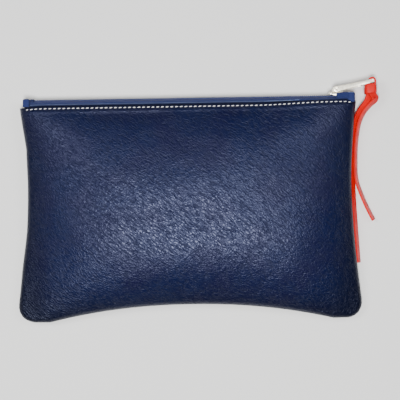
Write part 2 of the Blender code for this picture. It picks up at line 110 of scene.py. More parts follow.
# The leather's relief
WAVE_HEIGHT = 0.00150
RIPPLE_HEIGHT = 0.00034
PUCKER_HEIGHT = 0.00042
SEAM_REACH = 0.012
GROOVE_DEPTH = 0.00038
HOLE_DEPTH = 0.00042
ROLL_HEIGHT = 0.00055
LIP_DROP = 0.00090
FINE_ROW = 0.0005
FINE_ROWS = 16

# How much the soft piece stands out past its rigid model
OUTLINE_EASE = 0.0006
LOW_CORNER_EASE = 0.0018
LIP_BEND = 0.0019
LIP_DIP = 0.0007


def length(label, description, default):
    return FloatProperty(name=label, description=description, default=default, unit="LENGTH")


def colour(label, description, default):
    return FloatVectorProperty(name=label, description=description, default=default, subtype="COLOR")


class PouchSizes(bpy.types.PropertyGroup):
    stitch_pitch: length("Stitch pitch", "From one stitch to the next", 0.00358)
    stitch_length: length("Stitch length", "The part of a stitch that shows", 0.00240)
    stitch_width: length("Stitch width", "The thread's width", 0.00068)
    stitch_slant: FloatProperty(
        name="Stitch slant", description="How far a stitch turns off its line", default=math.radians(9),
        unit="ROTATION"
    )
    coil_pitch: length("Coil pitch", "From one turn of a zip coil to the next", 0.00150)
    coil_wire: length("Coil wire", "The diameter of a coil's wire", 0.00062)
    grain: length("Grain size", "The width of a pebble of the leather", 0.00165)
    across: IntProperty(name="Columns", description="Faces across a leather panel", default=330, min=40)


class PouchColours(bpy.types.PropertyGroup):
    leather: colour("Leather", "The panels' colour", (0.0002, 0.0014, 0.0170))
    leather_light: colour("Rubbed leather", "The grain's raised parts", (0.0015, 0.0041, 0.0290))
    tape: colour("Tape", "The zip's tapes", (0.0050, 0.0120, 0.068))
    # Painted highlight: a light line along the front tape's fold and along the right end tab's top edge,
    # where they catch the light.
    tape_fold: colour("Tape fold", "The rubbed folds of the tapes", (0.110, 0.150, 0.280))
    lining: colour("Lining", "The woven lining", (0.022, 0.028, 0.070))
    thread: colour("Topstitching", "The thread along the lips", (0.90, 0.88, 0.86))
    metal: colour("Metal", "The slider and the pull", (1.0, 0.95, 0.80))
    thong: colour("Thong", "The thong's faces", (0.50, 0.0014, 0.0012))
    # Partly the edges' own paint, partly painted highlight: the edges are coloured lighter where they catch
    # the light.
    thong_edge: colour("Thong edge", "The thong's painted edges", (0.70, 0.034, 0.026))
    floor: colour("Floor", "The pale surface it lies on", (0.80, 0.80, 0.79))


def sizes():
    return bpy.context.scene.pouch_sizes


def colours():
    return bpy.context.scene.pouch_colours


# The pouch's shape -------------------------------------------------------------------------------


def half_width(y):
    """Half the pouch's width at that height: it pulls in at the waist, between its corners."""
    if y > WAIST_Y:
        share = (y - WAIST_Y) / (LIP_Y - WAIST_Y)
        return WAIST_HALF_WIDTH + (TOP_HALF_WIDTH - WAIST_HALF_WIDTH) * share**1.6
    share = (WAIST_Y - y) / (WAIST_Y - BOTTOM_MIDDLE_Y)
    return WAIST_HALF_WIDTH + (CORNER_HALF_WIDTH - WAIST_HALF_WIDTH) * min(share, 1) ** 1.8


def bottom_edge(x):
    """The bottom seam's y, which arches up between the corners."""
    return BOTTOM_MIDDLE_Y - CORNER_DROP * (min(abs(x), ARCH_END) / CORNER_DROP_X) ** 2.13


def lip_shift(x, up):
    """How far the lip's line bends off straight: up towards the closed end, and down at both its ends."""
    bend = LIP_BEND * smooth(x, 0.050, 0.112) - LIP_DIP * (smooth(x, 0.119, 0.128) + smooth(-x, 0.112, 0.128))
    return bend * smooth(up, 0.55, 1.0)


def seam_z(across, up):
    """The seam's height over the table, for shares across the pouch and up it. The bottom corners sink."""
    return CHAIN_Z - CORNER_SINK * abs(across) ** 4 * ((1 - up) / 2) ** 2


def swell(across, up, rise, sharpness):
    """How far a panel stands off the seam's height, beyond its rounded edge."""
    power = sharpness + (24 - sharpness) * max(up, 0) ** 6
    sides = 1 - abs(across) ** power
    if up < 0:
        return rise * sides * (1 - abs(up) ** 3.2)
    lip = (LIP_HEIGHT - EDGE) / rise
    return rise * sides * (1 - (1 - lip) * up**2.2)


def shares_at(x, y):
    """How far across and up the pouch a point is, each from -1 to 1."""
    across = max(-1, min(1, x / half_width(y)))
    bottom = bottom_edge(across * CORNER_HALF_WIDTH)
    return across, max(-1, min(1, 2 * (y - bottom) / (LIP_Y - bottom) - 1))


def panel_height(x, y, edge_height, side, floor):
    """A panel's height over the table. side is 1 on the front panel, -1 on the back one, which lies flat."""
    across, up = shares_at(x, y)
    base = seam_z(across, up)
    if side > 0:
        return base + edge_height + swell(across, up, FRONT_RISE, 4)
    return max(floor, base - edge_height - swell(across, up, BACK_DEPTH, 8))


def rounded_corner(x, y, inset):
    """The point moved so that the outline's square bottom corners, that far in from the seam, turn round."""
    radius = CORNER_RADIUS - inset
    a = radius - (half_width(y) - inset - abs(x))
    b = radius - (y - inset - bottom_edge(x))
    if a <= 0 or b <= 0:
        return x, y
    squeeze = 1 - max(a, b) / math.hypot(a, b)
    return math.copysign(abs(x) - a * squeeze, x), y + b * squeeze


def smooth(value, low, high):
    """0 below low, 1 above high, and an even slope between them."""
    share = max(0.0, min(1.0, (value - low) / (high - low)))
    return share * share * (3 - 2 * share)


def mouth_opening(x):
    """How far the front lip leaves the back one, from 0 by the slider and the end tab to 1 in the middle."""
    share = (x - MOUTH_START) / (ZIP_END - MOUTH_START)
    if share <= 0 or share >= 1:
        return 0.0
    return (4 * share * (1 - share)) ** 0.8 * smooth(share, 0.0, 0.16) * smooth(1 - share, 0.0, 0.05)


def share_with_front(x, y):
    """How far a point of the front goes with its body: it stays put at the side and bottom seams."""
    across, up = shares_at(x, y)
    seams = 1 - abs(across) ** 3
    mouth = smooth(up, -0.2, 1.0)
    return (seams * (1 - mouth) + mouth_opening(x) * mouth) * smooth(up, -1.0, 0.0)


def brightened(values, factor):
    """A colour times a factor, up to white."""
    return [min(1.0, factor * value) for value in values]


def open_with_mouth(piece):
    """Bakes a finished piece's place into its mesh, and works out how far each of its points would go with
    the front. It does not bend the piece.
    """
    low, high = JOINTS["mouth_gape"]["pos_m"], (0, LIP_Y, CHAIN_Z)
    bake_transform(piece)
    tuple(low)
    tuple(high)
    shares = [share_with_front(vert.co.x, vert.co.y) for vert in piece.data.vertices]


def join_side(piece, side):
    """The front's pieces go through open_with_mouth, which bakes their places and leaves them unbent; the
    back's are attached to the back.
    """
    if side > 0:
        open_with_mouth(piece)
    else:
        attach(piece, "bag_back")


# Modelling ---------------------------------------------------------------------------------------


def smooth_route(points, steps):
    """A Catmull-Rom curve through the points, with that many steps between each two."""
    spots = [Vector(p) for p in points]
    spots = [2 * spots[0] - spots[1], *spots, 2 * spots[-1] - spots[-2]]
    route = []
    for i in range(1, len(spots) - 2):
        a, b, c, d = spots[i - 1 : i + 3]
        for k in range(steps):
            t = k / steps
            route.append(0.5 * (2 * b + (c - a) * t + (2 * a - 5 * b + 4 * c - d) * t**2
                                + (3 * b - a - 3 * c + d) * t**3))
    return [*route, spots[-2]]


def deselect():
    bpy.ops.object.select_all(action="DESELECT")


def work_on(piece):
    deselect()
    piece.select_set(True)
    bpy.context.view_layer.objects.active = piece


def named(name):
    piece = bpy.context.object
    piece.name = name
    piece.data.name = name
    return piece


def keep_place(piece):
    work_on(piece)
    bpy.ops.object.transform_apply(location=True, rotation=True, scale=True)
    return piece


def modified(piece, kind, **values):
    """The piece with one modifier applied."""
    work_on(piece)
    step = piece.modifiers.new(kind.lower(), kind)
    for key, value in values.items():
        setattr(step, key, value)
    bpy.ops.object.modifier_apply(modifier=step.name)
    return piece


def rounded(piece, width, segments=3, angle=40):
    limit = math.radians(angle)
    return modified(piece, "BEVEL", width=width, segments=segments, limit_method="ANGLE", angle_limit=limit)


def edited(piece, *steps):
    """The piece after some of edit mode's operators, each given with its settings, on the whole mesh."""
    work_on(piece)
    bpy.ops.object.mode_set(mode="EDIT")
    bpy.ops.mesh.select_all(action="SELECT")
    for step, settings in steps:
        step(**settings)
    bpy.ops.object.mode_set(mode="OBJECT")
    return piece


def turned_round(piece):
    """The piece with its faces turned the other way."""
    return edited(piece, (bpy.ops.mesh.flip_normals, {}))


def shaped_grid(name, columns, rows, place):
    """A sheet of quads whose point at shares (u, v), each from -1 to 1, stands at place(u, v)."""
    deselect()
    bpy.ops.mesh.primitive_grid_add(x_subdivisions=columns, y_subdivisions=rows, size=2)
    piece = named(name)
    for vert in piece.data.vertices:
        vert.co = place(vert.co.x, vert.co.y)
    return piece


def box_between(name, low, high):
    """A cube primitive stretched between two corners."""
    low, high = Vector(low), Vector(high)
    deselect()
    bpy.ops.mesh.primitive_cube_add(size=1, location=(low + high) / 2, scale=high - low)
    return keep_place(named(name))


def disc_at(name, centre, radius, half_depth, vertices=40):
    """A cylinder primitive whose axis runs along Z."""
    deselect()
    depth = 2 * half_depth
    bpy.ops.mesh.primitive_cylinder_add(vertices=vertices, radius=radius, depth=depth, location=centre)
    return keep_place(named(name))


def combined(piece, other, operation):
    """The piece joined to, or cut by, another solid, which is used up."""
    modified(piece, "BOOLEAN", operation=operation, object=other, solver="EXACT")
    bpy.data.objects.remove(other)
    return piece


def cut_along(piece, cuts):
    """Extra rows of points across a long block, so that it can be shaped along X."""
    for x in cuts:
        edited(piece, (bpy.ops.mesh.bisect, {"plane_co": (x, 0, 0), "plane_no": (1, 0, 0)}))
    return piece


def shares_between(low, high, count):
    """The places that part low to high into count equal lengths."""
    return [low + (high - low) * i / count for i in range(1, count)]


def merged(piece, distance=1e-6):
    return edited(piece, (bpy.ops.mesh.remove_doubles, {"threshold": distance}),
                  (bpy.ops.mesh.normals_make_consistent, {"inside": False}))


def joined(name, pieces):
    deselect()
    for piece in pieces:
        piece.select_set(True)
    bpy.context.view_layer.objects.active = pieces[0]
    bpy.ops.object.join()
    return named(name)


def clothe(piece, materials, nodes, angle=45):
    """Gives a piece its materials and shading, and hides the CAD nodes that it stands for."""
    work_on(piece)
    bpy.ops.object.shade_smooth_by_angle(angle=math.radians(angle))
    for material in materials:
        piece.data.materials.append(material)
    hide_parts(*nodes)
    return piece


# Materials ---------------------------------------------------------------------------------------


class Finish:
    """A material under construction: its node tree, its shader and short ways to add nodes."""

    def __init__(self, name, roughness, metallic=0.0):
        self.material = bpy.data.materials.new(name)
        self.material.use_nodes = True
        self.tree = self.material.node_tree
        self.shader = self.tree.nodes["Principled BSDF"]
        self.set("Roughness", roughness)
        self.set("Metallic", metallic)

    def add(self, kind, inputs=None, **settings):
        node = self.tree.nodes.new(kind)
        for key, value in settings.items():
            setattr(node, key, value)
        for key, value in (inputs or {}).items():
            if isinstance(value, bpy.types.NodeSocket):
                self.tree.links.new(value, node.inputs[key])
            else:
                node.inputs[key].default_value = value
        return node

    def set(self, socket, value):
        self.shader.inputs[socket].default_value = value

    def link(self, value, socket):
        self.tree.links.new(value, self.shader.inputs[socket])

    def places(self, kind="Object", scale=(1, 1, 1), turn=0.0):
        source = self.add("ShaderNodeTexCoord").outputs[kind]
        mapping = self.add("ShaderNodeMapping", {"Vector": source, "Scale": scale, "Rotation": (0, 0, turn)})
        return mapping.outputs["Vector"]

    def slanted(self, vector, turn, stretch):
        """The same places, stretched along the direction that lies turn radians round from X."""
        inputs = {"Vector": vector, "Rotation": (0, 0, turn), "Scale": (stretch, 1, 1)}
        return self.add("ShaderNodeMapping", inputs, vector_type="TEXTURE").outputs["Vector"]

    def noise(self, vector, scale, detail=3.0, roughness=0.5):
        inputs = {"Vector": vector, "Scale": scale, "Detail": detail, "Roughness": roughness}
        return self.add("ShaderNodeTexNoise", inputs).outputs["Fac"]

    def math(self, operation, a, b):
        return self.add("ShaderNodeMath", {0: a, 1: b}, operation=operation).outputs[0]

    def summed(self, *parts):
        """The sum of values, each given with its weight."""
        total = None
        for value, weight in parts:
            part = value if weight == 1 else self.math("MULTIPLY", value, weight)
            total = part if total is None else self.math("ADD", total, part)
        return total

    def ranged(self, value, low, high, out_low=0.0, out_high=1.0):
        inputs = {"Value": value, "From Min": low, "From Max": high, "To Min": out_low, "To Max": out_high}
        return self.add("ShaderNodeMapRange", inputs).outputs["Result"]

    def rolled(self, value, low, high):
        """0 at low, 1 at high, with both ends eased."""
        inputs = {"Value": value, "From Min": low, "From Max": high}
        return self.add("ShaderNodeMapRange", inputs, interpolation_type="SMOOTHERSTEP").outputs["Result"]

    def mixed(self, share, first, second):
        node = self.add("ShaderNodeMix", data_type="RGBA")
        for key, value in ((0, share), (6, first), (7, second)):
            if isinstance(value, bpy.types.NodeSocket):
                self.tree.links.new(value, node.inputs[key])
            else:
                node.inputs[key].default_value = value if key == 0 else (*value, 1)
        return node.outputs[2]

    def bump(self, height, distance, strength=1.0, before=None):
        inputs = {"Height": height, "Distance": distance, "Strength": strength}
        if before:
            inputs["Normal"] = before
        return self.add("ShaderNodeBump", inputs).outputs["Normal"]


def leather_finish():
    """Creased, pebbled leather, darkened with painted shade down towards its rim. The pebbles and their
    creases run down to the right.
    """
    finish = Finish("pebbled_leather", 0.5)
    size = sizes().grain
    place = finish.places()
    inputs = {"Vector": place, "Scale": 0.22 / size, "Detail": 2.0}
    drift = finish.add("ShaderNodeTexNoise", inputs).outputs["Color"]
    drift = finish.add("ShaderNodeVectorMath", {0: drift, "Scale": 1.7 * size}, operation="SCALE").outputs[0]
    loose = finish.add("ShaderNodeVectorMath", {0: place, 1: drift}, operation="ADD").outputs[0]
    along = finish.slanted(loose, CREASE_TURN, 1.9)
    cells = finish.add(
        "ShaderNodeTexVoronoi", {"Vector": along, "Scale": 1 / size}, feature="DISTANCE_TO_EDGE"
    ).outputs["Distance"]
    pebbles = finish.rolled(cells, -0.04, 0.26)
    pores = finish.noise(place, 3.4 / size, 3.0, 0.6)
    creases = finish.noise(finish.slanted(loose, CREASE_TURN, 4.2), 1.25 / size, 2.0, 0.5)
    creases = finish.rolled(creases, 0.34, 0.52)
    relief = finish.summed((pebbles, 0.36), (creases, 0.54), (pores, 0.14))
    worn = finish.noise(place, 16.0, 3.0, 0.55)
    tone = finish.ranged(finish.summed((relief, 0.85), (worn, 0.25)), 0.25, 0.90)
    red, green, blue = colours().leather_light
    plum = [2.2 * red, 0.80 * green, 0.86 * blue]
    patches = finish.ranged(finish.noise(place, 34.0, 2.0), 0.42, 0.62)
    raised = finish.mixed(patches, colours().leather_light, plum)
    # Painted shade: the colour darkens where the panel lies low, down the rim where the leather curves away
    # from the light.
    height = finish.add("ShaderNodeSeparateXYZ", {"Vector": place}).outputs["Z"]
    crown = finish.rolled(height, 0.004, 0.027)
    painted_rim_shade = brightened(colours().leather, 0.3)
    finish.link(finish.mixed(crown, painted_rim_shade, finish.mixed(tone, colours().leather, raised)), "Base Color")
    shine = finish.summed((relief, 0.80), (worn, 0.20))
    finish.link(finish.ranged(shine, 0.20, 0.85, 0.60, 0.34), "Roughness")
    finish.set("Specular IOR Level", 0.36)
    finish.set("Specular Tint", (0.61, 0.67, 0.98, 1))
    finish.link(finish.bump(relief, 0.00032, 0.85), "Normal")
    return finish.material


def lip_paint_and_shade_finish():
    """The nearly black paint on the cut edges of the lips, which also serves as painted shade for the gap
    between each lip and its tape.
    """
    finish = Finish("lip_paint_and_shade", 0.7)
    grain = finish.noise(finish.places(), 1800.0, 3.0, 0.6)
    finish.link(finish.mixed(grain, (0.0008, 0.0010, 0.0040), (0.0025, 0.0030, 0.0110)), "Base Color")
    finish.link(finish.ranged(grain, 0.3, 0.7, 0.62, 0.80), "Roughness")
    finish.set("Specular IOR Level", 0.25)
    finish.link(finish.bump(grain, 0.0001, 0.6), "Normal")
    return finish.material


def thong_finish(name, colour, light, roughness):
    """Smooth red leather with a fine close grain, and tones that wander along the strip."""
    finish = Finish(name, roughness)
    place = finish.places()
    grain = finish.noise(place, 2600.0, 4.0, 0.6)
    broad = finish.noise(place, 160.0, 3.0)
    tone = finish.ranged(finish.math("ADD", grain, broad), 0.75, 1.35)
    finish.link(finish.mixed(tone, colour, light), "Base Color")
    finish.link(finish.ranged(broad, 0.3, 0.7, roughness + 0.07, roughness - 0.07), "Roughness")
    finish.set("Specular IOR Level", 0.20)
    finish.link(finish.bump(grain, 0.00012, 0.6), "Normal")
    return finish.material


def woven_finish(name, colour, light, threads, roughness, relief):
    """A twill of that many threads along each side of its UV map, which climbs one thread at a time."""
    finish = Finish(name, roughness)
    weave = finish.places("UV", (threads[0], threads[1], 1.0))
    parted = finish.add("ShaderNodeSeparateXYZ", {"Vector": weave})
    slanted = finish.math("ADD", parted.outputs["X"], parted.outputs["Y"])
    ribs = finish.math("SINE", finish.math("MULTIPLY", slanted, 2 * math.pi), 0.0)
    yarn = finish.math("SINE", finish.math("MULTIPLY", parted.outputs["Y"], 4 * math.pi), 0.0)
    fuzz = finish.noise(finish.places(), 3000.0, 3.0, 0.7)
    height = finish.summed((ribs, 0.32), (yarn, 0.18), (fuzz, 0.5))
    finish.link(finish.mixed(finish.ranged(height, -0.15, 0.75), colour, light), "Base Color")
    finish.link(finish.ranged(fuzz, 0.3, 0.7, roughness - 0.08, roughness + 0.08), "Roughness")
    finish.set("Sheen Weight", 0.04)
    finish.set("Sheen Roughness", 0.5)
    finish.set("Specular IOR Level", 0.30)
    finish.link(finish.bump(height, relief, 0.9), "Normal")
    return finish.material


def coil_finish():
    """Dyed nylon wire, with a faint streak along it."""
    finish = Finish("coil_nylon", 0.38)
    streaks = finish.noise(finish.places(scale=(1.0, 1.0, 3.0)), 1500.0, 3.0)
    finish.link(finish.mixed(streaks, colours().tape, brightened(colours().tape, 2.2)), "Base Color")
    finish.link(finish.ranged(streaks, 0.3, 0.7, 0.32, 0.46), "Roughness")
    finish.link(finish.bump(streaks, 0.00004, 0.5), "Normal")
    return finish.material


def stop_finish():
    """The dull, dark nylon of the zip's stops, mottled where it was pressed."""
    finish = Finish("stop_nylon", 0.7)
    mottle = finish.noise(finish.places(), 2200.0, 3.0, 0.6)
    dark = brightened(colours().tape, 0.35)
    finish.link(finish.mixed(mottle, dark, colours().tape), "Base Color")
    finish.link(finish.ranged(mottle, 0.3, 0.7, 0.62, 0.82), "Roughness")
    finish.set("Specular IOR Level", 0.25)
    finish.link(finish.bump(mottle, 0.00010, 0.7), "Normal")
    return finish.material


def thread_finish(name, colour, light):
    """Twisted thread: the two plies show as slanting bands on each stitch."""
    finish = Finish(name, 0.62)
    plies = finish.add("ShaderNodeTexWave", {
        "Vector": finish.places("UV", (1.0, 5.0, 1.0)), "Scale": 1.0, "Distortion": 0.6, "Detail": 1.0,
    }, wave_type="BANDS", bands_direction="DIAGONAL").outputs["Fac"]
    fuzz = finish.noise(finish.places(), 4000.0, 3.0, 0.7)
    height = finish.summed((plies, 1), (fuzz, 0.4))
    finish.link(finish.mixed(finish.ranged(height, 0.1, 1.1), colour, light), "Base Color")
    finish.link(finish.ranged(fuzz, 0.3, 0.7, 0.55, 0.70), "Roughness")
    finish.link(finish.bump(height, 0.00010, 0.7), "Normal")
    return finish.material


def metal_finish():
    """Plated die casting: bright, with soft unevenness under the plating and hairline scratches."""
    finish = Finish("plated_metal", 0.30, 0.72)
    place = finish.places()
    cast = finish.noise(place, 420.0, 3.0)
    scratches = finish.noise(finish.places(scale=(40.0, 1200.0, 900.0), turn=PULL_ANGLE), 4.0, 4.0, 0.7)
    dull = brightened(colours().metal, 0.86)
    finish.link(finish.mixed(finish.ranged(cast, 0.3, 0.7), dull, colours().metal), "Base Color")
    finish.link(finish.ranged(finish.math("ADD", cast, scratches), 0.6, 1.4, 0.24, 0.42), "Roughness")
    finish.link(finish.bump(finish.summed((cast, 1), (scratches, 0.4)), 0.00006, 0.5), "Normal")
    return finish.material


def floor_finish():
    """A matt pale surface with a hardly visible mottle."""
    finish = Finish("floor", 0.8)
    mottle = finish.noise(finish.places(), 9.0, 2.0)
    dim = brightened(colours().floor, 0.97)
    finish.link(finish.mixed(mottle, dim, colours().floor), "Base Color")
    finish.link(finish.ranged(mottle, 0.3, 0.7, 0.75, 0.85), "Roughness")
    return finish.material


def finish_named(name, make, *values):
    """The material of that name, made the first time that it is asked for."""
    return bpy.data.materials.get(name) or make(*values)


def lip_paint_and_shade_material():
    return finish_named("lip_paint_and_shade", lip_paint_and_shade_finish)


def leather_material():
    return finish_named("pebbled_leather", leather_finish)


def metal_material():
    return finish_named("plated_metal", metal_finish)


def thong_materials():
    face, edge = colours().thong, colours().thong_edge
    return [
        finish_named("thong_face", thong_finish, "thong_face", face, brightened(face, 1.25), 0.42),
        # The edge finish is lighter than the faces: partly the edges' own paint, partly painted highlight
        # where the edges catch the light.
        finish_named("thong_edge", thong_finish, "thong_edge", edge, brightened(edge, 1.1), 0.34),
    ]


def cloth_material(name, base, threads, relief, roughness=0.7):
    return finish_named(name, woven_finish, name, base, brightened(base, 1.8), threads, roughness, relief)


# The panels --------------------------------------------------------------------------------------


def rim_stations():
    """Distance in from the seam and height over it, round the edge of a panel from the seam inwards."""
    turns = 7
    angles = [math.pi / 2 * i / turns for i in range(turns + 1)]
    return [(EDGE * (1 - math.cos(a)), SEAM_HEIGHT + (EDGE - SEAM_HEIGHT) * math.sin(a)) for a in angles]


def spread(count, power):
    """Shares from -1 to 1, without the ends, that crowd towards both of them."""
    even = [2 * i / count - 1 for i in range(1, count)]
    return [math.copysign(1 - (1 - abs(share)) ** power, share) for share in even]


def lip_rows(count):
    """Shares up a panel from above the bottom rim to the lip. Under the lip they lie close together."""
    height = (LIP_Y - BOTTOM_MIDDLE_Y) / 2
    near = [1 - FINE_ROW * i / height for i in range(FINE_ROWS)]
    far = [-1 + (near[-1] + 1) * (i / count) ** 0.85 for i in range(1, count)]
    return far + near[::-1]


def stitch_phase(x):
    """How far along its stitch a place is, from 0 at one hole to 1 at the next."""
    return (x / sizes().stitch_pitch) % 1.0


def leather_relief(x, y, side):
    """How far the leather stands off its even shape: soft waves, puckers at the seams, the stitched lip."""
    across, up = shares_at(x, y)
    seed = 3.0 + side
    edge_distance = half_width(y) - abs(x)
    bottom_distance = y - bottom_edge(x)
    waves = WAVE_HEIGHT * noise.noise(Vector((x * 15, y * 20, seed)))
    waves += RIPPLE_HEIGHT * noise.noise(Vector((x * 46 + y * 30, y * 60 - x * 22, seed + 5)))
    inner = smooth(edge_distance, 0.0, SEAM_REACH) * smooth(bottom_distance, 0.0, SEAM_REACH)
    inner *= smooth(1 - up, 0.0, 0.12)
    side_pucker = noise.noise(Vector((seed, y * 150, 0.4))) * math.exp(-edge_distance / 0.0045)
    side_pucker *= smooth(edge_distance, 0, 0.002)
    bottom_pucker = noise.noise(Vector((x * 120, seed, 0.8))) * math.exp(-bottom_distance / 0.0050)
    bottom_pucker *= smooth(bottom_distance, 0, 0.002)
    puckers = PUCKER_HEIGHT * (side_pucker + bottom_pucker)
    below = STITCH_LINE_Y - y
    groove = -GROOVE_DEPTH * math.exp(-((below / 0.00065) ** 2))
    phase = stitch_phase(x)
    hole = math.exp(-((min(phase, 1 - phase) * sizes().stitch_pitch / 0.00062) ** 2))
    groove -= HOLE_DEPTH * hole * math.exp(-((below / 0.00075) ** 2))
    roll = ROLL_HEIGHT * math.exp(-(((below - 0.0024) / 0.0016) ** 2)) if below > -0.0004 else 0.0
    edge = -LIP_DROP * smooth(y, LIP_Y - 0.0009, LIP_Y)
    return waves * inner + puckers + groove + roll + edge


def leather_panel(name, side):
    """A lofted leather shell: rows crowd under the stitched lip, and the rim turns round to the seam."""
    rim = rim_stations()
    inner_x = spread(sizes().across - 2 * len(rim), 1.35)
    inner_y = lip_rows(68)
    columns = [(inset, -1.0, height) for inset, height in rim] + [(None, share, None) for share in inner_x]
    columns += [(inset, 1.0, height) for inset, height in reversed(rim)]
    rows = [(inset, -1.0, height) for inset, height in rim] + [(None, share, None) for share in inner_y]

    def place(u, v):
        inset_x, share_x, height_x = columns[round((u + 1) / 2 * (len(columns) - 1))]
        inset_y, share_y, height_y = rows[round((v + 1) / 2 * (len(rows) - 1))]
        bottom = bottom_edge(share_x * CORNER_HALF_WIDTH)
        y = bottom + (EDGE if inset_y is None else inset_y)
        y += (LIP_Y - y) * (share_y + 1) / 2
        x = share_x * (half_width(y) - (EDGE if inset_x is None else inset_x))
        insets = [inset for inset in (inset_x, inset_y) if inset is not None]
        x, y = rounded_corner(x, y, min(insets, default=EDGE))
        rim_height = min(height for height in (height_x, height_y, EDGE) if height is not None)
        z = panel_height(x, y, rim_height, side, 0.0)
        by_side = 1 - smooth(half_width(y) - abs(x), 0.0, SEAM_REACH)
        by_bottom = 1 - smooth(y - bottom_edge(x), 0.0, SEAM_REACH)
        lifted = z + side * leather_relief(x, y, side)
        ease = OUTLINE_EASE * (1 - 3.2 * smooth(-x, 0.09, 0.12) * smooth(y, 0.030, 0.075))
        ease += LOW_CORNER_EASE * smooth(-x, 0.09, 0.13) * smooth(-y, 0.01, 0.05)
        x += math.copysign(ease * by_side, x)
        y += lip_shift(x, shares_at(x, y)[1]) - OUTLINE_EASE * by_bottom
        return Vector((x, y, max(lifted, 0.0) if side < 0 else lifted))

    piece = shaped_grid(name, len(columns) - 1, len(rows) - 1, place)
    if side < 0:
        turned_round(piece)
    return modified(piece, "SOLIDIFY", thickness=LEATHER, offset=-1)


def apply_lip_paint_and_shade(piece):
    """Gives the faces at the lip's cut edge the piece's second material: the nearly black edge paint, which
    also serves as painted shade for the gap under the tape.
    """
    for face in piece.data.polygons:
        face.material_index = int(face.center.y - lip_shift(face.center.x, 1) > LIP_Y - 0.0006)


class POUCH_OT_panels(bpy.types.Operator):
    """Model the front and back leather panels"""

    bl_idname = "pouch.panels"
    bl_label = "Leather panels"

    def execute(self, context):
        for label, side in SIDES:
            piece = leather_panel(f"{label}_leather", side)
            clothe(piece, [leather_material(), lip_paint_and_shade_material()], [f"{label}_panel"], 60)
            apply_lip_paint_and_shade(piece)
            join_side(piece, side)
        return {"FINISHED"}


class POUCH_OT_lining(bpy.types.Operator):
    """Model the woven lining inside each panel"""

    bl_idname = "pouch.lining"
    bl_label = "Lining"

    def execute(self, context):
        inset = EDGE + 0.0008
        depth = LEATHER + 0.0018

        def inside(side):
            def place(u, v):
                share = (1 + v) / 2
                bottom = bottom_edge(u * CORNER_HALF_WIDTH) + inset
                y = bottom + (LIP_Y - 0.0030 - bottom) * share
                x, y = rounded_corner(u * (half_width(y) - inset), y, inset)
                ripple = 0.0003 * noise.noise(Vector((x * 60, y * 60, side)))
                height = panel_height(x, y, EDGE - depth, side, depth) + ripple * (1 - abs(u) ** 4)
                return Vector((x, y, height))

            return place

        cloth = cloth_material("lining_weave", colours().lining, (520, 330), 0.00010, 0.75)
        for label, side in SIDES:
            piece = shaped_grid(f"{label}_lining_cloth", 110, 72, inside(side))
            if side < 0:
                turned_round(piece)
            modified(piece, "SOLIDIFY", thickness=0.0005, offset=-1)
            clothe(piece, [cloth], [f"{label}_lining"], 60)
            join_side(piece, side)
        return {"FINISHED"}


# Stitching ---------------------------------------------------------------------------------------


def one_stitch(name):
    """A plump stitch along X whose ends dip into their holes."""
    size = sizes()
    deselect()
    bpy.ops.mesh.primitive_uv_sphere_add(segments=10, ring_count=9, radius=1, rotation=(0, math.pi / 2, 0))
    stitch = keep_place(named(name))
    half_length, half_thread = size.stitch_length / 2, size.stitch_width / 2
    for vert in stitch.data.vertices:
        x, y, z = vert.co
        plump = 0.35 + 0.65 * math.sqrt(max(0.0, 1 - x**4))
        radial = math.hypot(y, z) or 1.0
        full = min(1, radial * 1.25)
        y, z = y / radial * full * plump, z / radial * full * plump
        x = math.copysign(abs(x) ** 0.9, x)
        dip = 0.55 * size.stitch_width * x**4
        vert.co = (x * half_length, y * half_thread, z * half_thread * 0.9 - dip)
    return stitch


def stitch_row(label, side):
    """The stitches along one lip, each on the leather between two holes."""
    size = sizes()
    count = math.floor(STITCH_REACH / size.stitch_pitch)
    step = 0.001
    pattern = one_stitch("stitch")
    row = []

    def surface(x, y):
        return panel_height(x, y, EDGE, side, 0)

    for i in range(-count, count):
        x = (i + 0.5) * size.stitch_pitch
        y = STITCH_LINE_Y - 0.00010 + 0.00007 * noise.noise(Vector((x * 900, side, 0.0)))
        rise = (surface(x + step, y) - surface(x - step, y)) / (2 * step)
        lean = (surface(x, y + step) - surface(x, y - step)) / (2 * step)
        z = surface(x, y) + side * (0.12 * size.stitch_width - 0.00022)
        slant = size.stitch_slant * (1 + 0.35 * noise.noise(Vector((x * 700, side, 4.0))))
        turn = Matrix.Rotation(math.atan(lean), 4, "X") @ Matrix.Rotation(-math.atan(rise), 4, "Y")
        turn = turn @ Matrix.Rotation(slant, 4, "Z")
        if side < 0:
            turn = turn @ Matrix.Rotation(math.pi, 4, "X")
        copy = bpy.data.objects.new("stitch", pattern.data.copy())
        bpy.context.scene.collection.objects.link(copy)
        copy.data.transform(Matrix.Translation((x, y + lip_shift(x, 1), z)) @ turn)
        row.append(copy)
    bpy.data.objects.remove(pattern)
    return joined(f"{label}_stitches", row)


class POUCH_OT_stitching(bpy.types.Operator):
    """Model the row of cream stitches along each lip"""

    bl_idname = "pouch.stitching"
    bl_label = "Topstitching"

    def execute(self, context):
        thread = colours().thread
        cream = thread_finish("cream_twist", brightened(thread, 0.72), brightened(thread, 1.2))
        for label, side in SIDES:
            row = stitch_row(label, side)
            clothe(row, [cream], [f"{label}_topstitch"], 80)
            join_side(row, side)
        navy = thread_finish("navy_twist", colours().leather, colours().leather_light)
        hidden = frame["nodes"]["seam_stitching"]
        hidden.data.materials.clear()
        hidden.data.materials.append(navy)
        return {"FINISHED"}


# The zip -----------------------------------------------------------------------------------------


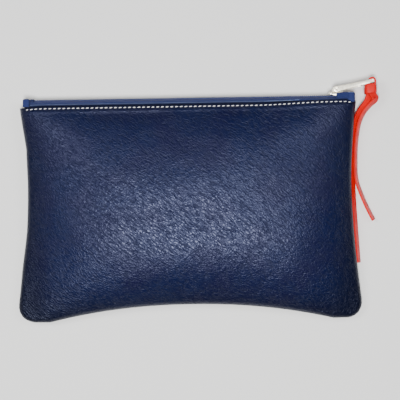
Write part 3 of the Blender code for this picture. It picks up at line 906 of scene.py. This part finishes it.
def tape_profile(x, side):
    """Points across a tape, as (y, distance off the chain's middle), from the coil to below the lip."""
    lip = abs(panel_height(x, LIP_Y, EDGE, side, 0) - CHAIN_Z)
    share = lip / LIP_HEIGHT
    top = COIL_LOW.y
    rise = lip_shift(x, 1)
    points = [
        (top + 0.0006, 0.0016), (top + 0.0005, 0.0026), (top + 0.0002, 0.0038),
        (top - 0.0004, 0.0051 * share), (top - 0.0010, 0.0058 * share), (top - 0.0015, 0.0062 * share),
        (top - 0.0018, 0.0067 * share), (top - 0.0021, 0.0068 * share),
        (LIP_Y + 0.0013 + 0.5 * rise, lip - 0.0022), (LIP_Y + 0.0007 + rise, lip - 0.0042),
        (LIP_Y + 0.0003 + rise, lip - 0.0046), (LIP_Y - 0.0004 + rise, lip - 0.0034),
        (LIP_Y - 0.0014, lip - LEATHER - 0.0008),
    ]
    for below in (0.0045, 0.0085):
        off = abs(panel_height(x, LIP_Y - below, EDGE, side, 0) - CHAIN_Z)
        points.append((LIP_Y - below, off - LEATHER - 0.0006))
    return points


def cloth_strip(name, low_x, high_x, columns, profile, side):
    """A strip of tape. profile(x) gives its section at x as (y, distance off the chain's middle)."""
    sections = []
    for i in range(columns + 1):
        points = [Vector((y, off, 0)) for y, off in profile(low_x + (high_x - low_x) * i / columns)]
        sections.append(smooth_route(points, 4))
    last = len(sections[0]) - 1

    def place(u, v):
        column = round((u + 1) / 2 * columns)
        x = low_x + (high_x - low_x) * column / columns
        y, off, _ = sections[column][round((v + 1) / 2 * last)]
        off += 0.00016 * noise.noise(Vector((x * 130, v * 2, side))) * smooth(v, -1, 0)
        return Vector((x, y, CHAIN_Z + side * off))

    piece = shaped_grid(name, columns, last, place)
    share = (high_x - low_x) / (2 * ZIP_END)
    for corner in piece.data.uv_layers.active.uv:
        corner.vector = (corner.vector.x * share, corner.vector.y * last / 48)
    if side > 0:
        turned_round(piece)
    return modified(piece, "SOLIDIFY", thickness=0.0006, offset=-1)


def tape(label, side):
    """A woven tape. The front one also reaches over the slider's plate at the closed end, as a loose flap."""
    whole = cloth_strip(f"{label}_tape_cloth", -ZIP_END, ZIP_END, 300, lambda x: tape_profile(x, side), side)
    if side < 0:
        return whole
    start, end = SLIDER_HIGH.x - 0.0060, ZIP_END + 0.0012
    over = SLIDER_HIGH.z - CHAIN_Z + 0.0009

    def flap_profile(x):
        share = smooth(x, start, start + 0.0060)
        crest = 0.0858 + 0.0008 * share
        return [(crest, over), (crest - 0.0004, over + 0.0004), (crest - 0.0014, over + 0.0008),
                (crest - 0.0030, over + 0.0012), (LIP_Y + 0.0034, 0.0070), (LIP_Y + 0.0026, 0.0066)]

    flap = cloth_strip("tape_flap", start, end, 16, flap_profile, side)
    return joined(f"{label}_tape_cloth", [whole, flap])


def neck_share(x):
    """How far the coils have parted round the slider's neck, from 0 to 1."""
    return smooth(x, SLIDER_HIGH.x - 0.0056, SLIDER_HIGH.x - 0.0036)


def coil(label, side):
    """A flattened helix of wire. Its inner bends reach between those of the other coil."""
    size = sizes()
    start, end = COIL_LOW.x + 0.0004, COIL_HIGH.x - 0.0004
    turns = int((end - start) / size.coil_pitch)
    steps = 14
    middle_y = (COIL_LOW.y + COIL_HIGH.y) / 2
    half_height = (COIL_HIGH.y - COIL_LOW.y - size.coil_wire) / 2
    outer = abs(COIL_HIGH.z - CHAIN_Z) - size.coil_wire / 2
    inner = -0.00045
    curve = bpy.data.curves.new(f"{label}_coil_wire", "CURVE")
    curve.dimensions = "3D"
    curve.bevel_depth = size.coil_wire / 2
    curve.bevel_resolution = 1
    curve.use_fill_caps = True
    spline = curve.splines.new("POLY")
    spline.points.add(turns * steps)
    offset = 0.0 if side > 0 else size.coil_pitch / 2
    for i, point in enumerate(spline.points):
        angle = 2 * math.pi * i / steps
        x = start + offset + size.coil_pitch * (i / steps)
        off = (outer + inner) / 2 + (outer - inner) / 2 * math.cos(angle)
        head = 1.0 + 0.16 * max(0.0, -math.cos(angle)) ** 3
        y = middle_y + half_height * math.sin(angle) * head
        neck = neck_share(x)
        point.co = (min(x, end), y, CHAIN_Z + side * max(off, 0.0020 * neck + inner * (1 - neck)), 1)
    holder = bpy.data.objects.new(f"{label}_coil_wire", curve)
    bpy.context.scene.collection.objects.link(holder)
    work_on(holder)
    bpy.ops.object.convert(target="MESH")
    wire = named(f"{label}_coil_wire")

    def core_place(u, v):
        x = start + (end - start) * (u + 1) / 2
        angle = math.pi * v
        neck = neck_share(x)
        off = 0.0013 + 0.0009 * neck + (0.0010 - 0.0003 * neck) * math.cos(angle)
        return Vector((x, middle_y - 0.0002 + 0.00062 * math.sin(angle), CHAIN_Z + side * off))

    core = merged(shaped_grid(f"{label}_coil_core", 120, 12, core_place))
    edited(core, (bpy.ops.mesh.select_all, {"action": "DESELECT"}), (bpy.ops.mesh.select_non_manifold, {}),
           (bpy.ops.mesh.edge_face_add, {}), (bpy.ops.mesh.select_all, {"action": "SELECT"}),
           (bpy.ops.mesh.normals_make_consistent, {"inside": False}))
    return joined(f"{label}_coil_wire", [wire, core])


def end_tab(label):
    """A short length of tape folded over each end of the chain, puffed between its edges."""
    low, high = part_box(f"{label}_end_tab")
    if label == "left":
        low, high = low + Vector((0.0010, 0, 0)), high - Vector((0, 0.0004, 0))
    corner = (low.x, low.y - 0.0004, low.z - 0.0012)
    piece = box_between(f"{label}_tab_cloth", corner, high + Vector((0, 0, 0.0026)))
    cut_along(piece, shares_between(low.x, high.x, 4))
    middle = (low + high) / 2
    for vert in piece.data.vertices:
        along = abs(vert.co.x - middle.x) / (high.x - middle.x)
        if vert.co.y > middle.y:
            vert.co.z = middle.z + (vert.co.z - middle.z) * (0.86 - 0.08 * along)
            vert.co.y -= 0.0004 * along**2
        vert.co.z += 0.0004 * (1 - along**2) if vert.co.z > middle.z else 0
    rounded(piece, 0.0009, 4)
    return piece


class POUCH_OT_zip(bpy.types.Operator):
    """Model the zip's tapes, coils and end tabs, and finish its stops"""

    bl_idname = "pouch.zip"
    bl_label = "Zip"

    def execute(self, context):
        webbing = cloth_material("zip_webbing", colours().tape, (300, 26), 0.00020)
        # crest is painted highlight: a light grey-blue for the lit fold of the front tape and the lit top
        # edge of the right tab.
        crest = cloth_material("tape_fold", colours().tape_fold, (300, 26), 0.00016)
        wire = finish_named("coil_nylon", coil_finish)
        stuff = finish_named("stop_nylon", stop_finish)
        for label, side in SIDES:
            strip = clothe(tape(label, side), [webbing, crest], [f"{label}_tape"], 60)
            if side > 0:
                # A thin line along the front tape's fold gets the painted highlight, stopping short of the
                # closed end.
                for face in strip.data.polygons:
                    line = LIP_Y + 0.0014 + 0.5 * lip_shift(face.center.x, 1)
                    face.material_index = int(abs(face.center.y - line) < 0.00016 and face.center.x < 0.085)
            helix = clothe(coil(label, side), [wire], [f"{label}_coil"], 80)
            join_side(strip, side)
            join_side(helix, side)
        fold = cloth_material("tab_webbing", colours().tape, (26, 26), 0.00016)
        for label in ("left", "right"):
            piece = clothe(end_tab(label), [fold, crest], [f"{label}_end_tab"], 60)
            top = max(vert.co.y for vert in piece.data.vertices)
            # The right tab's top edge gets the painted highlight, a light line where the tab's crest catches
            # the light.
            for face in piece.data.polygons:
                face.material_index = int(label == "right" and face.center.y > top - 0.0007)
            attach(piece, "bag_back")
        for label in ("front_top_stop", "back_top_stop", "bottom_stop"):
            low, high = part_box(label)
            bead = rounded(box_between(f"{label}_bead", low, high), 0.0005, 3)
            clothe(bead, [stuff], [label], 60)
            join_side(bead, 1 if label == "front_top_stop" else -1)
        return {"FINISHED"}


# The slider and its pull -------------------------------------------------------------------------


PLATE = 0.0012  # a plate's thickness
UNDER_DROP = 0.0012  # from the coils down to the lower plate
UNDER_HALF_WIDTH = 0.0037
FLANGE_NEAR, FLANGE_FAR = 0.0035, 0.0042  # off the chain's middle
FLANGE_WEDGE = 0.0007


def slider_plate(name, low_y, high_y, half_depth):
    """A plate of the slider, narrow where the joined coils leave it and wide at its two throats."""
    start, end = SLIDER_LOW.x, SLIDER_HIGH.x
    piece = box_between(name, (start, low_y, CHAIN_Z - half_depth), (end, high_y, CHAIN_Z + half_depth))
    cut_along(piece, shares_between(start, end, 12))
    for vert in piece.data.vertices:
        share = (vert.co.x - start) / (end - start)
        width = 0.80 + 0.20 * smooth(share, 0.15, 0.75)
        width *= 1 - 0.30 * smooth(0.10 - share, 0.0, 0.10) - 0.26 * smooth(share, 0.88, 1.0)
        vert.co.z = CHAIN_Z + (vert.co.z - CHAIN_Z) * width
    return rounded(piece, 0.00035, 3)


class POUCH_OT_slider(bpy.types.Operator):
    """Model the zip's slider with its two plates, flanges, neck and bridge"""

    bl_idname = "pouch.slider"
    bl_label = "Slider"

    def execute(self, context):
        start, end = SLIDER_LOW.x, SLIDER_HIGH.x
        plate_low, plate_high = COIL_HIGH.y + GAP, COIL_HIGH.y + GAP + PLATE
        under_high = COIL_LOW.y - UNDER_DROP
        upper = slider_plate("slider_casting", plate_low, plate_high, SLIDER_HIGH.z - CHAIN_Z)
        lower = slider_plate("slider_under", under_high - PLATE, under_high, UNDER_HALF_WIDTH)
        neck = box_between("slider_neck", (end - 0.0040, under_high - 0.0004, CHAIN_Z - 0.0010),
                           (end - 0.0008, plate_low + 0.0004, CHAIN_Z + 0.0010))
        combined(upper, rounded(neck, 0.0004), "UNION")
        combined(upper, lower, "UNION")
        middle = (start + end) / 2
        for side in (-1, 1):
            near, far = sorted((CHAIN_Z + side * FLANGE_NEAR, CHAIN_Z + side * FLANGE_FAR))
            flange = box_between("slider_flange", (start + 0.0024, COIL_LOW.y + 0.0014, near),
                                 (end - 0.0020, plate_low + 0.0005, far))
            cut_along(flange, [middle])
            for vert in flange.data.vertices:
                if vert.co.y < plate_low and abs(vert.co.x - middle) > 0.0005:
                    vert.co.y += FLANGE_WEDGE
            combined(upper, rounded(flange, 0.00025, 2), "UNION")
        foot = box_between("bridge_foot", (start + 0.0012, plate_high - 0.0004, CHAIN_Z - 0.0013),
                           (end - 0.0012, plate_high + 0.0012, CHAIN_Z + 0.0013))
        combined(upper, rounded(foot, 0.0005), "UNION")
        discs = (
            ("bridge_nose", (start + 0.0019, plate_high + 0.0001, CHAIN_Z), 0.0013, 0.0021, 0.0003),
            ("bridge_heel", (end - 0.0011, plate_high + 0.0006, CHAIN_Z), 0.0010, 0.0017, 0.0003),
            ("bridge_crown", PIVOT, 0.0026, 0.0013, 0.0004),
        )
        for name, centre, radius, half_depth, edge in discs:
            combined(upper, rounded(disc_at(name, centre, radius, half_depth), edge), "UNION")
        combined(upper, disc_at("bar_hole", PIVOT, 0.0013, 0.003), "DIFFERENCE")
        rounded(upper, 0.00012, 2, 50)
        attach(clothe(upper, [metal_material()], ["slider_body"], 35), "slider")
        return {"FINISHED"}


PLATE_START = 0.0010  # from the bar to the plate, along the pull
EYE_THICK = 0.0043
MIDDLE_LOSS, TIP_LOSS = 0.0009, 0.0006  # how much thinner the plate gets


class POUCH_OT_pull(bpy.types.Operator):
    """Model the pull: its round eye and bar, its tapering plate and the slot for the thong"""

    bl_idname = "pouch.pull"
    bl_label = "Pull"

    def execute(self, context):
        length = (END_BAR - PIVOT).length + 0.0013
        half_width_z = PULL_HIGH.z - CHAIN_Z
        turn = Matrix.Translation(PIVOT) @ Matrix.Rotation(PULL_ANGLE, 4, "Z")
        plate = box_between("pull_casting", (PLATE_START, -0.5, -half_width_z), (length, 0.5, half_width_z))
        cut_along(plate, shares_between(PLATE_START, length, 16))
        for vert in plate.data.vertices:
            share = vert.co.x / length
            thick = EYE_THICK - MIDDLE_LOSS * smooth(share, 0.05, 0.55) - TIP_LOSS * smooth(share, 0.65, 1.0)
            vert.co.y *= thick
            narrow = 1 - 0.10 * math.sin(math.pi * min(1, share * 1.15)) - 0.05 * smooth(share, 0.9, 1.0)
            vert.co.z *= narrow
        rounded(plate, 0.00042, 4)
        knuckle = disc_at("pull_knuckle", (0, 0, 0), 0.0026, half_width_z - 0.0001, 48)
        combined(plate, rounded(knuckle, 0.0004), "UNION")
        eye = box_between("pull_eye", (-0.006, -0.004, -0.0018), (0.0046, 0.004, 0.0018))
        combined(plate, rounded(eye, 0.0007), "DIFFERENCE")
        slot = box_between("pull_slot", (length - 0.0068, -0.004, -0.0033), (length - 0.0026, 0.004, 0.0033))
        combined(plate, rounded(slot, 0.0010, 4), "DIFFERENCE")
        panel = box_between("pull_panel", (0.0078, -0.004, -0.0021), (length - 0.0092, 0.004, 0.0021))
        core = box_between("pull_core", (0.0060, -0.00105, -0.0030), (length - 0.0080, 0.00105, 0.0030))
        combined(plate, combined(rounded(panel, 0.0012, 5), core, "DIFFERENCE"), "DIFFERENCE")
        combined(plate, disc_at("pull_bar", (0, 0, 0), 0.0010, 0.0026, 24), "UNION")
        for side in (-1, 1):
            pin_hole = disc_at("pin_hole", (0.0001, 0, side * half_width_z), 0.00070, 0.0016, 20)
            combined(plate, pin_hole, "DIFFERENCE")
        rounded(plate, 0.00015, 2, 50)
        plate.data.transform(turn)
        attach(clothe(plate, [metal_material()], ["pull_tab"], 35), "pull")
        return {"FINISHED"}


# The thong ---------------------------------------------------------------------------------------

STRIP = 0.0016  # its thickness
STRIP_WIDTH = 0.0055
TAIL_REST_Z = STRIP_WIDTH / 2 + 0.0002
START_LEAN = math.radians(74)

# Each tail's route from under the band: down onto the table and along the pouch's right edge
UNDER_BAND = (0.1402, 0.0872, 0.0099)
LONG_TAIL = [
    (0.1392, 0.0851, 0.0098), (0.1371, 0.0793, 0.0088), (0.1329, 0.0722, 0.0070),
    (0.1297, 0.0640, 0.0052), (0.1279, 0.0540, 0.0038), (0.1270, 0.0430, TAIL_REST_Z),
    (0.1266, 0.0300, TAIL_REST_Z), (0.1266, 0.0170, TAIL_REST_Z), (0.1271, 0.0030, TAIL_REST_Z),
    (0.1280, -0.0120, TAIL_REST_Z), (0.1291, -0.0280, TAIL_REST_Z), (0.1302, -0.0449, TAIL_REST_Z),
]
SHORT_TAIL = [
    (0.1429, 0.0850, 0.0098), (0.1442, 0.0838, 0.0097), (0.1456, 0.0824, 0.0095),
    (0.1444, 0.0803, 0.0090), (0.1404, 0.0770, 0.0082), (0.1358, 0.0720, 0.0070),
    (0.1321, 0.0642, 0.0052), (0.1301, 0.0540, 0.0038), (0.1291, 0.0430, TAIL_REST_Z),
    (0.1288, 0.0320, TAIL_REST_Z), (0.1290, 0.0240, TAIL_REST_Z), (0.1303, 0.0163, TAIL_REST_Z),
    (0.1332, 0.0080, TAIL_REST_Z), (0.1370, -0.0012, TAIL_REST_Z), (0.1423, -0.0120, TAIL_REST_Z),
]


def strip(name, route, width, lean, thickness=STRIP, grip=0.0):
    """A flat strip of leather along a route. lean(share) is how far its upper edge tips over, in radians.
    grip is the share of its width that it loses at its start, where something holds it."""
    count = len(route)
    rows = 6

    def place(u, v):
        index = round((u + 1) / 2 * (count - 1))
        ahead = route[min(index + 1, count - 1)] - route[max(index - 1, 0)]
        across = ahead.cross(Vector((0, 0, 1))).normalized()
        share = index / (count - 1)
        angle = lean(share)
        spine = Vector((0, 0, 1)) * math.cos(angle) + across * math.sin(angle)
        gathered = 1 - grip * (1 - smooth(share, 0.01, 0.055))
        return route[index] + spine * (v * width * gathered / 2)

    piece = shaped_grid(name, count - 1, rows, place)
    modified(piece, "SOLIDIFY", thickness=thickness, offset=0, material_offset_rim=1)
    rounded(piece, 0.00030, 2, 60)
    return piece


def route_length(route):
    return sum((b - a).length for a, b in zip(route, route[1:], strict=False))


class POUCH_OT_thong(bpy.types.Operator):
    """Model the thong: the loop through the pull, the band that grips it and its two tails"""

    bl_idname = "pouch.thong"
    bl_label = "Thong"

    def execute(self, context):
        faces = thong_materials()
        outer_radius = (LOOP_HIGH.x - LOOP_LOW.x) / 2 - 0.0004
        wrap = 0.0018
        middle_radius = outer_radius - wrap / 2
        centre = END_BAR
        turns = 18
        near = [(-middle_radius + 0.0002, -0.0045, 0), (-middle_radius, -0.0010, 0)]
        arc = [middle_radius * Vector((-math.cos(math.pi * i / turns), math.sin(math.pi * i / turns), 0))
               for i in range(turns + 1)]
        far = [(middle_radius, -0.0010, 0), (middle_radius - 0.0003, -0.0045, 0)]
        route = [centre + Vector(spot) for spot in (*near, *arc, *far)]
        loop = strip("thong_eye", route, STRIP_WIDTH, lambda share: 0.0, wrap)
        band = self.band()
        for piece, node in ((loop, "thong_loop"), (band, "thong_band")):
            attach(clothe(piece, faces, [node], 50), "thong")
        tails = (("long", LONG_TAIL, self.long_lean), ("short", SHORT_TAIL, self.short_lean))
        for label, points, lean in tails:
            route = smooth_route([UNDER_BAND, *points], 6)
            lift = 0.0011 if label == "short" else -0.0011
            for i, spot in enumerate(route):
                share = i / len(route)
                spot.z += lift * (1 - smooth(share, 0.12, 0.42))
                spot.x -= 0.0010 * (1 - smooth(share, 0.22, 0.40)) * (label == "short")
                apart = smooth(share, 0.16, 0.34) * (1 - smooth(share, 0.62, 0.80))
                spot.x += apart * (0.0003 if label == "short" else -0.0004)
                early = smooth(share, 0.05, 0.11) * (1 - smooth(share, 0.17, 0.26))
                spot.x += early * (-0.0006 if label == "short" else 0.0009)
            piece = strip(f"{label}_tail", route, STRIP_WIDTH, lean, STRIP, 0.45)
            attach(clothe(piece, faces, [f"thong_{label}_tail"], 50), "thong")
            tuple(route[0])
            route_length(route)
            [tuple(place) for place in route]
        return {"FINISHED"}

    @staticmethod
    def long_lean(share):
        by_middle, by_tip = smooth(share, 0.02, 0.42), smooth(share, 0.55, 1)
        return START_LEAN - math.radians(24) * by_middle - math.radians(24) * by_tip

    @staticmethod
    def short_lean(share):
        return START_LEAN - math.radians(49) * smooth(share, 0.04, 0.36)

    @staticmethod
    def band():
        """The thong's own bight drawn round both legs: a closed ring that bulges a little in the middle."""
        middle = (BAND_LOW + BAND_HIGH) / 2
        half = (BAND_HIGH - BAND_LOW) / 2
        sides = 64

        def place(u, v):
            angle = math.pi * u
            c, s = math.cos(angle), math.sin(angle)
            squareness = 0.62
            x = math.copysign(abs(c) ** squareness, c) * (half.x - STRIP / 2)
            z = math.copysign(abs(s) ** squareness, s) * (half.z - STRIP / 2)
            bulge = 1.10 - 0.06 * v * v - 0.05 * v
            skew = 0.0005 * c
            y = 0.0003 + v * (half.y + 0.0003) + skew
            return middle + Vector((x * bulge, y, z * bulge))

        piece = merged(shaped_grid("thong_knot", sides, 8, place), 1e-5)
        modified(piece, "SOLIDIFY", thickness=STRIP, offset=0, material_offset_rim=1)
        return rounded(piece, 0.0003, 2, 60)


# The stage ---------------------------------------------------------------------------------------


# Each light's name, place, target, size and power
LIGHTS = (
    ("key", (-0.04, -0.24, 1.26), (-0.01, 0.0, 0.02), 0.34, 26.5),
    ("left_fill", (-0.72, 0.30, 1.10), (0, 0, 0.02), 0.5, 8.5),
    ("right_fill", (0.72, 0.34, 1.10), (0, 0, 0.02), 0.5, 4.5),
)
SEEN_WIDTH = 0.308
FOCUS_HEIGHT = 0.010
CAMERA_TURN = math.radians(-0.95)


def soft_light(name, place, target, size, power):
    data = bpy.data.lights.new(name, "AREA")
    data.shape = "SQUARE"
    data.size = size
    data.energy = power
    light = bpy.data.objects.new(name, data)
    bpy.context.scene.collection.objects.link(light)
    light.location = place
    light.rotation_euler = (Vector(target) - Vector(place)).to_track_quat("-Z", "Y").to_euler()


class POUCH_OT_stage(bpy.types.Operator):
    """Set up the floor, the soft lights and the camera straight above"""

    bl_idname = "pouch.stage"
    bl_label = "Floor, lights and camera"

    def execute(self, context):
        deselect()
        bpy.ops.mesh.primitive_plane_add(size=6)
        floor = named("floor")
        floor.data.materials.append(finish_named("floor", floor_finish))
        world = bpy.data.worlds.new("studio")
        context.scene.world = world
        world.use_nodes = True
        background = world.node_tree.nodes["Background"]
        background.inputs["Color"].default_value = (0.92, 0.95, 1.0, 1)
        background.inputs["Strength"].default_value = 0.04
        for light in LIGHTS:
            soft_light(*light)
        data = bpy.data.cameras.new("camera")
        data.lens = 100
        camera = bpy.data.objects.new("camera", data)
        context.scene.collection.objects.link(camera)
        distance = SEEN_WIDTH * data.lens / data.sensor_width
        camera.location = (0.0078, 0.0057, FOCUS_HEIGHT + distance)
        camera.rotation_euler = (0, 0, CAMERA_TURN)
        context.scene.camera = camera
        return {"FINISHED"}


class POUCH_PT_panel(bpy.types.Panel):
    """The pouch's sizes, its colours and its steps"""

    bl_idname = "POUCH_PT_panel"
    bl_label = "Zip Pouch"
    bl_space_type = "VIEW_3D"
    bl_region_type = "UI"
    bl_category = "Pouch"

    def draw(self, context):
        for group in (context.scene.pouch_sizes, context.scene.pouch_colours):
            for name in group.bl_rna.properties.keys():
                if name not in ("rna_type", "name"):
                    self.layout.prop(group, name)
        for operator in OPERATORS:
            self.layout.operator(operator.bl_idname)


GROUPS = (PouchSizes, PouchColours)
OPERATORS = (
    POUCH_OT_stage,
    POUCH_OT_panels,
    POUCH_OT_lining,
    POUCH_OT_stitching,
    POUCH_OT_zip,
    POUCH_OT_slider,
    POUCH_OT_pull,
    POUCH_OT_thong,
)
CLASSES = (*GROUPS, *OPERATORS, POUCH_PT_panel)


def register():
    for cls in CLASSES:
        bpy.utils.register_class(cls)
    bpy.types.Scene.pouch_sizes = PointerProperty(type=PouchSizes)
    bpy.types.Scene.pouch_colours = PointerProperty(type=PouchColours)


def unregister():
    del bpy.types.Scene.pouch_colours
    del bpy.types.Scene.pouch_sizes
    for cls in reversed(CLASSES):
        bpy.utils.unregister_class(cls)


def main():
    register()
    bpy.ops.pouch.stage()
    bpy.ops.pouch.thong()
    bpy.ops.pouch.panels()
    bpy.ops.pouch.lining()
    bpy.ops.pouch.stitching()
    bpy.ops.pouch.zip()
    bpy.ops.pouch.slider()
    bpy.ops.pouch.pull()


if __name__ == "__main__":
    main()
